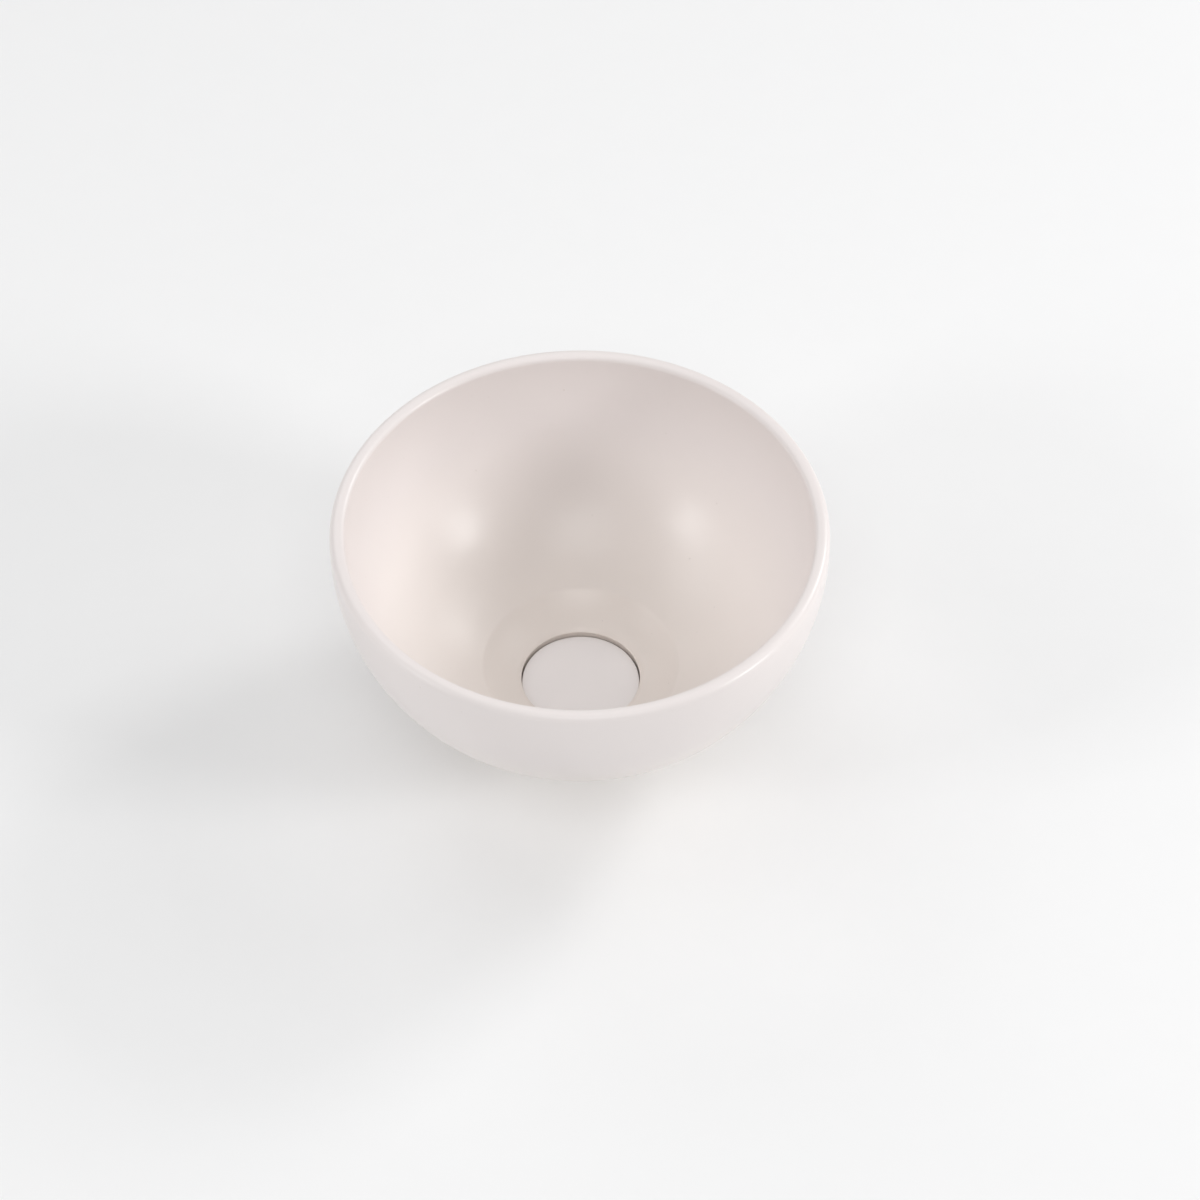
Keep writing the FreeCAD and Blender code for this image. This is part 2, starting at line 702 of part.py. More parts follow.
def latch_spring(doc, size, level):
    """Coil spring with ground ends between the base and the rotor."""
    body = new_body(doc, "latch_spring", level.spring_end)
    sketch = new_sketch(body, "wire_section", "XZ_Plane")
    draw_circle(sketch, size.spring_wire_radius, (size.spring_mean_radius, 0))
    coil = body.newObject("PartDesign::AdditiveHelix", "coil")
    coil.Profile = sketch
    coil.ReferenceAxis = (sketch, ["V_Axis"])
    coil.Mode = 0
    bind(coil, "Pitch", size.spring_length / SPRING_TURNS)
    bind(coil, "Height", size.spring_length)
    far = size.spring_mean_radius + size.overrun
    ground_end(body, "lower_ground_end", far, 0, -size.overrun)
    ground_end(body, "upper_ground_end", far, size.spring_length, size.overrun)
    return body


def ground_end(body, name, far, level, depth):
    edge = as_length(level)
    points = [(0, level), (far, level), (far, edge + depth), (0, edge + depth)]
    return turned_cut(body, name, points)


def latch_base(doc, size, level):
    """Base of the latch: plug in the barrel, collar on the boss, stud through it."""
    body = new_body(doc, "latch_base", level.base_collar)
    plug = size.latch_groove_radius - size.thread_clearance
    collar_end = -size.base_collar_height
    stud_end = collar_end - size.base_stud_length
    points = [
        (0, stud_end),
        (size.base_stud_radius, stud_end),
        (size.base_stud_radius, collar_end),
        (size.latch_radius, collar_end),
        (size.latch_radius, 0),
        (plug, 0),
        (plug, size.base_plug_length),
        (0, size.base_plug_length),
    ]
    turned(body, "base_section", points)
    rounded(doc, body, "stud_end_edge", size.stud_end_round, [(size.base_stud_radius, stud_end)])
    return body


def waste_body(doc, size, level):
    """Flange, threaded tail and the cross that carries the latch."""
    body = new_body(doc, "waste_body", level.flange_seat)
    tail_end = -size.tail_length
    runout = tail_end + size.trap_thread_length
    runout_top = runout + size.runout_width
    groove_radius = size.tail_radius - size.runout_depth
    bore = size.tail_radius - size.tail_wall
    points = [
        (bore, tail_end),
        (size.tail_radius - size.tail_chamfer, tail_end),
        (size.tail_radius, tail_end + size.tail_chamfer),
        (size.tail_radius, runout),
        (groove_radius, runout),
        (groove_radius, runout_top),
        (size.tail_radius, runout_top),
        (size.tail_radius, 0),
        (size.flange_radius, 0),
        (size.flange_radius, size.flange_thickness),
        (size.dish_radius, size.flange_thickness),
        (bore, size.flange_thickness - size.dish_depth),
    ]
    turned(body, "body_section", points)
    cross(body, size, bore, level.spider_top - level.flange_seat)
    rounded(doc, body, "flange_edge", size.flange_round, [(size.flange_radius, size.flange_thickness)])
    rounded(doc, body, "dish_edge", size.dish_round, [(size.dish_radius, size.flange_thickness)])
    return body


def cross(body, size, bore, top):
    """Four arms across the bore with a threaded boss in the middle."""
    arm_bottom = top - size.spider_height
    boss_bottom = top - size.boss_height
    half_width = size.spider_arm_width / 2
    reach = (bore + size.tail_radius - size.runout_depth) / 2
    sketch = new_sketch(body, "arm_outline", "XY_Plane", arm_bottom)
    draw(sketch, [(0, -half_width), (reach, -half_width), (reach, half_width), (0, half_width)])
    arm = raised(body, "arm", sketch, size.spider_height)
    repeated(body, "arms", arm)
    boss = draw_circle(new_sketch(body, "boss_circle", "XY_Plane", boss_bottom), size.boss_radius)
    raised(body, "boss", boss, size.boss_height)
    stud_hole = size.base_stud_radius + size.thread_clearance
    hole = draw_circle(new_sketch(body, "boss_bore_circle", "XY_Plane", top), stud_hole)
    sunk(body, "boss_bore", hole, size.boss_height + size.overrun)


def flange_gasket(doc, size, level):
    body = new_body(doc, "flange_gasket", level.recess_floor)
    outer = size.flange_radius - size.gasket_margin
    bore = size.tail_radius + size.thread_clearance
    ring(body, "gasket", bore, outer, size.gasket_thickness)
    return body


def ring(body, name, bore, outer, height):
    turned(body, f"{name}_section", [(bore, 0), (outer, 0), (outer, height), (bore, height)])


def under_gasket(doc, size, level):
    """Conical rubber gasket that closes the countertop's hole from below."""
    body = new_body(doc, "under_gasket", level.under_gasket)
    bore = size.tail_radius + size.thread_clearance
    lower = size.cone_gasket_radius - size.cone_gasket_taper
    points = [
        (bore, 0),
        (lower, 0),
        (size.cone_gasket_radius, size.cone_gasket_taper),
        (size.cone_gasket_radius, size.cone_gasket_height),
        (bore, size.cone_gasket_height),
    ]
    turned(body, "cone_gasket_section", points)
    return body


def slip_washer(doc, size, level):
    body = new_body(doc, "slip_washer", level.slip_washer)
    ring(body, "washer", size.tail_radius + size.thread_clearance, size.washer_radius,
         size.washer_thickness)
    return body


def back_nut(doc, size, level):
    """Back nut on the tail, a hexagon under a round face."""
    bore = size.tail_radius + size.thread_clearance
    body = new_body(doc, "back_nut", level.back_nut)
    corner = size.back_nut_flats / (2 * math.cos(math.pi / HEX_SIDES))
    hexagon(body, "nut_hexagon", size.back_nut_height, corner)
    chamfered(body, "nut_lower", corner, size.back_nut_flats, 0, -size.overrun)
    face = size.back_nut_height - size.back_nut_flange_height
    sketch = new_sketch(body, "nut_face_circle", "XY_Plane", face)
    draw_circle(sketch, size.back_nut_flange_radius)
    raised(body, "nut_face", sketch, size.back_nut_flange_height)
    bore_circle = draw_circle(new_sketch(body, "nut_bore_circle", "XY_Plane"), bore)
    sunk(body, "nut_bore", bore_circle, size.back_nut_height + size.overrun, upwards=True)
    bore_lead(body, "nut_lower_lead", bore, size.back_nut_lead, 0, -size.overrun)
    return body


PIECES = (
    basin_bowl,
    waste_cap,
    cap_carrier,
    cap_seal,
    height_lock_nut,
    plunger,
    stem_wiper,
    latch_housing,
    latch_rotor,
    latch_spring,
    latch_base,
    waste_body,
    flange_gasket,
    under_gasket,
    slip_washer,
    back_nut,
)


def check_objects(doc, bodies):
    for item in doc.Objects:
        if "Invalid" in item.State or "Error" in item.State:
            raise RuntimeError(f"{item.Label} did not build: {item.State}")
    for body in bodies:
        shape = body.Shape
        if shape.isNull() or not shape.isValid():
            raise RuntimeError(f"{body.Label} has no valid shape")
        if len(shape.Solids) != 1:
            raise RuntimeError(f"{body.Label} is {len(shape.Solids)} solids")


def main():
    doc = FreeCAD.newDocument("washbasin")
    size = Sheet(doc)
    level = Levels(size)
    bodies = [piece(doc, size, level) for piece in PIECES]
    doc.recompute()
    check_objects(doc, bodies)
    os.makedirs("parts", exist_ok=True)
    for body in bodies:
        body.Shape.exportStep(f"parts/{body.Label}.step")
        box = body.Shape.BoundBox
        print(f"{body.Label}: {body.Shape.Volume:.1f} mm3, z {box.ZMin:.2f} to {box.ZMax:.2f}")
    return bodies


main()
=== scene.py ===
import math
import bpy
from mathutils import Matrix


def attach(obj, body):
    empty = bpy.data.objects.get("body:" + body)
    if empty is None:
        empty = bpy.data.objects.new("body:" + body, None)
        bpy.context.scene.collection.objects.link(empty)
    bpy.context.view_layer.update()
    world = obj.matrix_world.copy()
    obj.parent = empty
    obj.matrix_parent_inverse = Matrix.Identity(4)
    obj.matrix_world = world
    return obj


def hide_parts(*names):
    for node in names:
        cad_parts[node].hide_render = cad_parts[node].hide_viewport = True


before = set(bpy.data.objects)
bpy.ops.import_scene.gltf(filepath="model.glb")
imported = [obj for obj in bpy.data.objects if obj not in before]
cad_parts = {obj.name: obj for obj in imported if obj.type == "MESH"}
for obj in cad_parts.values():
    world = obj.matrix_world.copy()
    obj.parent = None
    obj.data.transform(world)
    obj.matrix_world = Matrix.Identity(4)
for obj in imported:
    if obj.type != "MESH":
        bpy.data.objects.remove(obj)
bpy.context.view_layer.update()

mm = 0.001  # sizes below are in millimetres, the scene is in metres
fullTurn = 2 * math.pi
mergeDistance = 0.001 * mm

print("frame loaded")


def selectNothing():
    if bpy.context.mode != "OBJECT":
        bpy.ops.object.mode_set(mode="OBJECT")
    bpy.ops.object.select_all(action="DESELECT")


def pickOnly(piece):
    selectNothing()
    piece.select_set(True)
    bpy.context.view_layer.objects.active = piece


def startPiece(name):
    piece = bpy.context.object
    piece.name = name
    piece.data.name = name
    return piece


def applyPlace(piece):
    pickOnly(piece)
    bpy.ops.object.transform_apply(location=True, rotation=True, scale=True)


def smoothed(piece, angle=40):
    pickOnly(piece)
    bpy.ops.object.shade_smooth_by_angle(angle=math.radians(angle))


def applied(piece, modifier):
    pickOnly(piece)
    bpy.ops.object.modifier_apply(modifier=modifier.name)


def joined(first, others):
    pickOnly(first)
    for piece in others:
        piece.select_set(True)
    bpy.ops.object.join()
    return first


# points of the round that replaces a sharp corner of a section
def cornerPoints(before, corner, after, radius, steps):
    toBefore = [before[0] - corner[0], before[1] - corner[1]]
    toAfter = [after[0] - corner[0], after[1] - corner[1]]
    lengthBefore = math.hypot(*toBefore)
    lengthAfter = math.hypot(*toAfter)
    unitBefore = [value / lengthBefore for value in toBefore]
    unitAfter = [value / lengthAfter for value in toAfter]
    cosine = unitBefore[0] * unitAfter[0] + unitBefore[1] * unitAfter[1]
    half = math.acos(max(-1, min(1, cosine))) / 2
    reach = radius / math.tan(half)
    middle = [unitBefore[0] + unitAfter[0], unitBefore[1] + unitAfter[1]]
    toCentre = radius / math.sin(half) / math.hypot(*middle)
    centre = [corner[0] + middle[0] * toCentre, corner[1] + middle[1] * toCentre]
    start = [corner[0] + unitBefore[0] * reach, corner[1] + unitBefore[1] * reach]
    end = [corner[0] + unitAfter[0] * reach, corner[1] + unitAfter[1] * reach]
    startAngle = math.atan2(start[1] - centre[1], start[0] - centre[0])
    sweep = math.atan2(end[1] - centre[1], end[0] - centre[0]) - startAngle
    sweep = (sweep + math.pi) % fullTurn - math.pi
    points = []
    for step in range(steps + 1):
        angle = startAngle + sweep * step / steps
        points.append((centre[0] + radius * math.cos(angle), centre[1] + radius * math.sin(angle)))
    return points


# corners are (radius, height) or (radius, height, round, steps)
def sectionPoints(corners, closed=True):
    points = []
    count = len(corners)
    for number, corner in enumerate(corners):
        ends = not closed and number in (0, count - 1)
        if len(corner) == 2 or ends:
            points.append(corner[:2])
            continue
        before = corners[number - 1][:2]
        after = corners[(number + 1) % count][:2]
        points.extend(cornerPoints(before, corner[:2], after, corner[2], corner[3]))
    return points


# points along an arc; the skips keep room for the rounds at its ends
def arcPoints(centre, radius, startAngle, endAngle, steps, skipStart, skipEnd):
    sign = 1 if endAngle > startAngle else -1
    first = startAngle + sign * skipStart / radius
    last = endAngle - sign * skipEnd / radius
    points = []
    for step in range(steps + 1):
        angle = first + (last - first) * step / steps
        points.append((centre[0] + radius * math.cos(angle), centre[1] + radius * math.sin(angle)))
    return points


# extrudes a ring along the section; an open section starts and ends on the axis
def turnedPiece(name, points, segments, closed=True):
    selectNothing()
    path = [(radius * mm, height * mm) for radius, height in points]
    if not closed:
        path = path[1:-1]
    bpy.ops.mesh.primitive_circle_add(vertices=segments, radius=path[0][0],
                                      location=(0, 0, path[0][1]))
    piece = startPiece(name)
    applyPlace(piece)
    bpy.ops.object.mode_set(mode="EDIT")
    bpy.ops.mesh.select_all(action="SELECT")
    for (radius, height), (nextRadius, nextHeight) in zip(path, path[1:] + path[:1] * closed):
        rise = (0, 0, nextHeight - height)
        bpy.ops.mesh.extrude_region_move(TRANSFORM_OT_translate={"value": rise})
        widen = nextRadius / radius
        bpy.ops.transform.resize(value=(widen, widen, 1), center_override=(0, 0, nextHeight))
    if not closed:
        closeOnAxis(path[-1][1], points[-1][1] * mm)
        pickFirstRing(piece, segments)
        closeOnAxis(path[0][1], points[0][1] * mm)
    bpy.ops.mesh.select_all(action="SELECT")
    bpy.ops.mesh.remove_doubles(threshold=mergeDistance)
    bpy.ops.mesh.normals_make_consistent(inside=False)
    bpy.ops.object.mode_set(mode="OBJECT")
    smoothed(piece)
    return piece


def closeOnAxis(height, axisHeight):
    bpy.ops.mesh.extrude_region_move(
        TRANSFORM_OT_translate={"value": (0, 0, axisHeight - height)})
    bpy.ops.mesh.merge(type="CENTER")


def pickFirstRing(piece, segments):
    bpy.ops.mesh.select_all(action="DESELECT")
    bpy.ops.object.mode_set(mode="OBJECT")
    for vertex in piece.data.vertices:
        vertex.select = vertex.index < segments
    bpy.ops.object.mode_set(mode="EDIT")


# materials: each starts from a shader and is fed by noise on object coordinates

def newMaterial(name, roughness, metallic=0.0, specular=0.5):
    material = bpy.data.materials.new(name)
    material.use_nodes = True
    shader = material.node_tree.nodes["Principled BSDF"]
    shader.inputs["Roughness"].default_value = roughness
    shader.inputs["Metallic"].default_value = metallic
    shader.inputs["Specular IOR Level"].default_value = specular
    return material, material.node_tree, shader


def noiseFrom(tree, scale, detail=2.0, roughness=0.5, vector=None):
    if vector is None:
        vector = tree.nodes.new("ShaderNodeTexCoord").outputs["Object"]
    noise = tree.nodes.new("ShaderNodeTexNoise")
    noise.inputs["Scale"].default_value = scale
    noise.inputs["Detail"].default_value = detail
    noise.inputs["Roughness"].default_value = roughness
    tree.links.new(vector, noise.inputs["Vector"])
    return noise.outputs["Fac"]


def mapRange(tree, value, low, high, outLow, outHigh):
    node = tree.nodes.new("ShaderNodeMapRange")
    node.inputs["From Min"].default_value = low
    node.inputs["From Max"].default_value = high
    node.inputs["To Min"].default_value = outLow
    node.inputs["To Max"].default_value = outHigh
    tree.links.new(value, node.inputs["Value"])
    return node.outputs["Result"]


# most values of a noise lie between 0.3 and 0.7
def spreadNoise(tree, noise, outLow, outHigh):
    return mapRange(tree, noise, 0.3, 0.7, outLow, outHigh)


# colours are (red, green, blue) or the output of another node
def mixColours(tree, factor, first, second):
    node = tree.nodes.new("ShaderNodeMix")
    node.data_type = "RGBA"
    colourInputs = [socket for socket in node.inputs if socket.type == "RGBA"]
    for socket, colour in zip(colourInputs, (first, second)):
        if isinstance(colour, tuple):
            socket.default_value = (*colour, 1)
        else:
            tree.links.new(colour, socket)
    tree.links.new(factor, node.inputs["Factor"])
    return next(socket for socket in node.outputs if socket.type == "RGBA")


def darker(colour, share):
    return tuple(value * share for value in colour)


def addBump(tree, shader, height, distance, strength=1.0):
    bump = tree.nodes.new("ShaderNodeBump")
    bump.inputs["Strength"].default_value = strength
    bump.inputs["Distance"].default_value = distance
    tree.links.new(height, bump.inputs["Height"])
    tree.links.new(bump.outputs["Normal"], shader.inputs["Normal"])


# first + second * share
def addHeights(tree, first, second, share):
    node = tree.nodes.new("ShaderNodeMath")
    node.operation = "MULTIPLY_ADD"
    node.inputs[1].default_value = share
    tree.links.new(second, node.inputs[0])
    tree.links.new(first, node.inputs[2])
    return node.outputs["Value"]


def useMaterial(piece, material):
    piece.data.materials.clear()
    piece.data.materials.append(material)


# 1 below the height, falling to 0 over the blur
def heightMask(tree, height, blur):
    split = tree.nodes.new("ShaderNodeSeparateXYZ")
    coordinates = tree.nodes.new("ShaderNodeTexCoord")
    tree.links.new(coordinates.outputs["Object"], split.inputs["Vector"])
    return mapRange(tree, split.outputs["Z"], height, height + blur, 1, 0)


glazeGrain = {
    "speckBlur": 0.02,
    "glossScale": 60,
    "waveScale": 28,
    "ripple": (170, 0.06),    # scale, and share of the waves' height
    "bisqueBlur": 0.3,        # the glaze's edge at the foot, in millimetres
    "bisqueScale": 900,
    "bisqueShade": 0.86,
    "bisqueRoughness": 0.9,
}


# satin glaze: slow clouds of colour, uneven gloss, a fine skin and a few pinholes
def glazeMaterial(name, g):
    material, tree, shader = newMaterial(name, g["roughness"])
    clouds = spreadNoise(tree, noiseFrom(tree, g["cloudScale"], 1), 0, 1)
    colour = mixColours(tree, clouds, g["colour"], darker(g["colour"], g["cloudShade"]))
    if "paintedBounceColour" in g:
        # painted bounce light: a warmer colour towards the bottom stands in for the light the
        # bowl's walls throw on one another
        bottom = heightMask(tree, g["lowTop"] * mm, g["lowBlur"] * mm)
        colour = mixColours(tree, bottom, colour, g["paintedBounceColour"])
    specks = mapRange(tree, noiseFrom(tree, g["speckScale"], 1), g["speckLimit"],
                      g["speckLimit"] + glazeGrain["speckBlur"], 0, 1)
    colour = mixColours(tree, specks, colour, g["speckColour"])
    low, high = g["roughness"] - g["glossSpread"], g["roughness"] + g["glossSpread"]
    gloss = spreadNoise(tree, noiseFrom(tree, glazeGrain["glossScale"], 3), low, high)
    if "bisqueTop" in g:
        foot = heightMask(tree, g["bisqueTop"] * mm, glazeGrain["bisqueBlur"] * mm)
        bisque = mixColours(tree, noiseFrom(tree, glazeGrain["bisqueScale"], 6, 0.7),
                            g["bisqueColour"],
                            darker(g["bisqueColour"], glazeGrain["bisqueShade"]))
        colour = mixColours(tree, foot, colour, bisque)
        dull = tree.nodes.new("ShaderNodeMix")
        dull.inputs["B"].default_value = glazeGrain["bisqueRoughness"]
        tree.links.new(gloss, dull.inputs["A"])
        tree.links.new(foot, dull.inputs["Factor"])
        gloss = dull.outputs["Result"]
    tree.links.new(colour, shader.inputs["Base Color"])
    tree.links.new(gloss, shader.inputs["Roughness"])
    rippleScale, rippleShare = glazeGrain["ripple"]
    skin = addHeights(tree, noiseFrom(tree, glazeGrain["waveScale"], 1),
                      noiseFrom(tree, rippleScale, 1), rippleShare)
    addBump(tree, shader, skin, g["skin"] * mm)
    return material


metalGrain = {
    "tarnishScale": 180,
    "tarnishLimits": (0.4, 0.7),
    "smearScale": 300,
    "smearLimits": (0.4, 0.9),
    "markShare": 0.3,         # how far the turning marks show in the gloss
}


# turning marks follow the distance from the axis and the height
def metalMaterial(name, m):
    material, tree, shader = newMaterial(name, m["roughness"], metallic=1.0)
    coordinates = tree.nodes.new("ShaderNodeTexCoord").outputs["Object"]
    split = tree.nodes.new("ShaderNodeSeparateXYZ")
    tree.links.new(coordinates, split.inputs["Vector"])
    flat = tree.nodes.new("ShaderNodeCombineXYZ")
    tree.links.new(split.outputs["X"], flat.inputs["X"])
    tree.links.new(split.outputs["Y"], flat.inputs["Y"])
    distance = tree.nodes.new("ShaderNodeVectorMath")
    distance.operation = "LENGTH"
    tree.links.new(flat.outputs["Vector"], distance.inputs[0])
    section = tree.nodes.new("ShaderNodeCombineXYZ")
    tree.links.new(distance.outputs["Value"], section.inputs["X"])
    tree.links.new(split.outputs["Z"], section.inputs["Z"])
    marks = noiseFrom(tree, m["markScale"], 3, 0.6, section.outputs["Vector"])
    tarnish = mapRange(tree, noiseFrom(tree, metalGrain["tarnishScale"], 5, 0.6),
                       *metalGrain["tarnishLimits"], 0, 1)
    tree.links.new(mixColours(tree, tarnish, m["colour"], m["tarnish"]),
                   shader.inputs["Base Color"])
    low, high = m["roughness"] - m["glossSpread"], m["roughness"] + m["glossSpread"]
    smear = addHeights(tree, noiseFrom(tree, metalGrain["smearScale"], 4), marks,
                       metalGrain["markShare"])
    tree.links.new(mapRange(tree, smear, *metalGrain["smearLimits"], low, high),
                   shader.inputs["Roughness"])
    addBump(tree, shader, marks, m["markDepth"] * mm)
    return material


# moulded plastic, rubber and silicone: a faint mottle over a fine grain
def mouldedMaterial(name, m):
    material, tree, shader = newMaterial(name, m["roughness"], specular=m["specular"])
    mottle = spreadNoise(tree, noiseFrom(tree, m["mottleScale"], 4), 0, 1)
    tree.links.new(mixColours(tree, mottle, m["colour"], darker(m["colour"], m["shade"])),
                   shader.inputs["Base Color"])
    grain = noiseFrom(tree, m["grainScale"], 3, 0.6)
    low, high = m["roughness"] - m["glossSpread"], m["roughness"] + m["glossSpread"]
    tree.links.new(spreadNoise(tree, grain, low, high), shader.inputs["Roughness"])
    if "glow" in m:
        shader.inputs["Subsurface Weight"].default_value = m["glow"]
        shader.inputs["Subsurface Radius"].default_value = (mm, mm, mm)
    addBump(tree, shader, grain, m["grainDepth"] * mm)
    return material


bowlGlaze = {
    "colour": (0.840, 0.784, 0.768),
    "paintedBounceColour": (0.849, 0.788, 0.740),   # painted warm bounce light: the glaze turns yellower towards the bottom, where the walls light one another
    "lowTop": 30.0,           # it starts to fade at this height
    "lowBlur": 80.0,          # and is gone this much higher
    "cloudScale": 9,
    "cloudShade": 0.975,
    "speckScale": 420,
    "speckLimit": 0.80,
    "speckColour": (0.74, 0.68, 0.65),
    "roughness": 0.31,
    "glossSpread": 0.025,
    "skin": 0.03,
    "bisqueColour": (0.62, 0.56, 0.49),
    "bisqueTop": 1.3,         # unglazed foot up to this height
}

bowl = {
    "radius": 140.0,          # widest circle outside
    "height": 155.0,
    "bellyDepth": 8.7,        # widest circle below the rim
    "wall": 8.4,
    "rimOuterRound": 4.2,
    "rimCrown": 7.5,          # the rim's top falls inward on this radius
    "rimInnerRound": 2.9,
    "shoulderRadius": 57.0,
    "shoulderRound": 8.0,
    "funnelArc": 60.0,
    "lipRadius": 34.45,
    "lipHeight": 23.4,
    "lipRound": 0.6,
    "brinkRadius": 36.4,      # where the funnel bends down to the lip
    "brinkHeight": 25.0,
    "brinkRound": 8.0,
    "recessRadius": 35.5,
    "undercutHeight": 20.6,
    "undercutRound": 0.5,
    "recessFloor": 10.2,
    "recessCorner": 1.0,
    "holeRadius": 22.75,
    "holeEdge": 0.8,
    "footHollow": 2.0,
    "footRadius": 50.0,
    "footRing": 8.0,
    "footFlare": 3.0,
    "footHeight": 26.0,
    "footBlend": 18.0,
    "footEdge": 1.5,
    "segments": 256,
    "wallSteps": 44,
    "edgeSteps": 8,
    # shares of a round's radius that an arc leaves free for the round at its end
    "footBlendShare": 0.95,
    "shoulderShares": (0.5, 0.45),
    "brinkShare": 0.3,
}


# closed section of the bowl, from the foot's inner edge round the outside
def bowlSection(b):
    footTop = b["footRadius"] + b["footFlare"]
    across = b["radius"] - footTop
    rise = b["height"] - b["bellyDepth"] - b["footHeight"]
    outerArc = (across ** 2 + rise ** 2) / (2 * across)
    innerArc = outerArc - b["wall"]
    centre = (b["radius"] - outerArc, b["height"] - b["bellyDepth"])

    def downTo(radius, arc):
        return -math.acos((radius - centre[0]) / arc)

    def at(angle, arc):
        return (centre[0] + arc * math.cos(angle), centre[1] + arc * math.sin(angle))

    outerStart = downTo(footTop, outerArc)
    rim, outerEnd, innerStart = rimPoints(b, centre, outerArc, innerArc)
    innerEnd = downTo(b["shoulderRadius"], innerArc)
    footInner = b["footRadius"] - b["footRing"]
    shoulder = at(innerEnd, innerArc)
    footSkip = b["footBlend"] * b["footBlendShare"]
    shoulderSkip = b["shoulderRound"] * b["shoulderShares"][0]
    corners = [
        (footInner, 0, b["footEdge"], 5),
        (b["footRadius"], 0, b["footEdge"], 5),
        (*at(outerStart, outerArc), b["footBlend"], 14),
        *arcPoints(centre, outerArc, outerStart, outerEnd, b["wallSteps"], footSkip, 0),
        *rim,
        *arcPoints(centre, innerArc, innerStart, innerEnd, b["wallSteps"], 0, shoulderSkip),
        (*shoulder, b["shoulderRound"], 10),
        *funnelPoints(b, shoulder),
        (b["brinkRadius"], b["brinkHeight"], b["brinkRound"], 8),
        (b["lipRadius"], b["lipHeight"], b["lipRound"], 7),
        (b["recessRadius"], b["undercutHeight"], b["undercutRound"], 3),
        (b["recessRadius"], b["recessFloor"], b["recessCorner"], 4),
        (b["holeRadius"], b["recessFloor"], b["holeEdge"], 3),
        (b["holeRadius"], b["footHollow"], b["holeEdge"], 3),
        (footInner, b["footHollow"]),
    ]
    return sectionPoints(corners)


# upper one of the points at two distances from two centres
def meetingPoint(first, firstReach, second, secondReach):
    across = (second[0] - first[0], second[1] - first[1])
    length = math.hypot(*across)
    along = (firstReach ** 2 - secondReach ** 2 + length ** 2) / (2 * length)
    aside = math.sqrt(firstReach ** 2 - along ** 2)
    unit = (across[0] / length, across[1] / length)
    ends = [(first[0] + unit[0] * along - sign * unit[1] * aside,
             first[1] + unit[1] * along + sign * unit[0] * aside) for sign in (1, -1)]
    return max(ends, key=lambda end: end[1])


# three arcs that touch one another and the two faces of the wall
def rimPoints(b, centre, outerArc, innerArc):
    outerRound, crown, innerRound = b["rimOuterRound"], b["rimCrown"], b["rimInnerRound"]
    rise = b["height"] - outerRound - centre[1]
    reach = math.sqrt((outerArc - outerRound) ** 2 - rise ** 2)
    outerCentre = (centre[0] + reach, centre[1] + rise)
    crownCentre = (outerCentre[0], b["height"] - crown)
    innerCentre = meetingPoint(crownCentre, crown - innerRound, centre, innerArc + innerRound)
    outerEnd = math.atan2(rise, reach)
    innerStart = math.atan2(innerCentre[1] - centre[1], innerCentre[0] - centre[0])
    crownEnd = math.atan2(innerCentre[1] - crownCentre[1], innerCentre[0] - crownCentre[0])
    steps = b["edgeSteps"]
    points = [
        *arcPoints(outerCentre, outerRound, outerEnd, math.pi / 2, steps, 0, 0),
        *arcPoints(crownCentre, crown, math.pi / 2, crownEnd, steps, 0, 0),
        *arcPoints(innerCentre, innerRound, crownEnd, math.pi + innerStart, steps, 0, 0),
    ]
    return points, outerEnd, innerStart


# hollow arc between the shoulder ring and the brink
def funnelPoints(b, shoulder):
    brink = (b["brinkRadius"], b["brinkHeight"])
    halfChord = ((brink[0] - shoulder[0]) / 2, (brink[1] - shoulder[1]) / 2)
    half = math.hypot(*halfChord)
    rise = math.sqrt(b["funnelArc"] ** 2 - half ** 2)
    centre = (shoulder[0] + halfChord[0] + halfChord[1] / half * rise,
              shoulder[1] + halfChord[1] - halfChord[0] / half * rise)
    startAngle = math.atan2(shoulder[1] - centre[1], shoulder[0] - centre[0])
    endAngle = math.atan2(brink[1] - centre[1], brink[0] - centre[0])
    shoulderSkip = b["shoulderRound"] * b["shoulderShares"][1]
    brinkSkip = b["brinkRound"] * b["brinkShare"]
    return arcPoints(centre, b["funnelArc"], startAngle, endAngle, 10, shoulderSkip, brinkSkip)


bowlPiece = turnedPiece("basinBowl", bowlSection(bowl), bowl["segments"])
useMaterial(bowlPiece, glazeMaterial("bowlGlaze", bowlGlaze))
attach(bowlPiece, "basin")
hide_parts("basin_bowl")
print("bowl modelled")

capGlaze = {
    "colour": (0.950, 0.918, 0.910),
    "cloudScale": 22,
    "cloudShade": 0.97,
    "speckScale": 500,
    "speckLimit": 0.82,
    "speckColour": (0.80, 0.77, 0.76),
    "roughness": 0.36,
    "glossSpread": 0.04,
    "skin": 0.03,
}

cap = {
    "radius": 34.25,
    "bottom": 15.0,
    "top": 20.0,
    "crown": 0.12,            # the face stands this much higher in the middle
    "edgeRound": 0.6,
    "footRound": 0.4,
    "carrierRadius": 20.28,
    "carrierDepth": 2.0,
    "ringShares": (0.85, 0.65, 0.45, 0.25, 0.1),  # rings that give the crown its arch
    "segments": 160,
}


# open section from the axis underneath round the edge to the axis on top
def capSection(c):
    inner = c["bottom"] + c["carrierDepth"]
    corners = [
        (0, inner),
        (c["carrierRadius"] / 2, inner),
        (c["carrierRadius"], inner),
        (c["carrierRadius"], c["bottom"]),
        (c["radius"], c["bottom"], c["footRound"], 3),
        (c["radius"], c["top"] - c["crown"], c["edgeRound"], 7),
    ]
    for share in c["ringShares"]:
        corners.append((c["radius"] * share, c["top"] - c["crown"] * share ** 2))
    corners.append((0, c["top"]))
    return sectionPoints(corners, closed=False)


capPiece = turnedPiece("wasteCap", capSection(cap), cap["segments"], closed=False)
useMaterial(capPiece, glazeMaterial("capGlaze", capGlaze))
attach(capPiece, "plug")
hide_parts("waste_cap")
print("cap modelled")

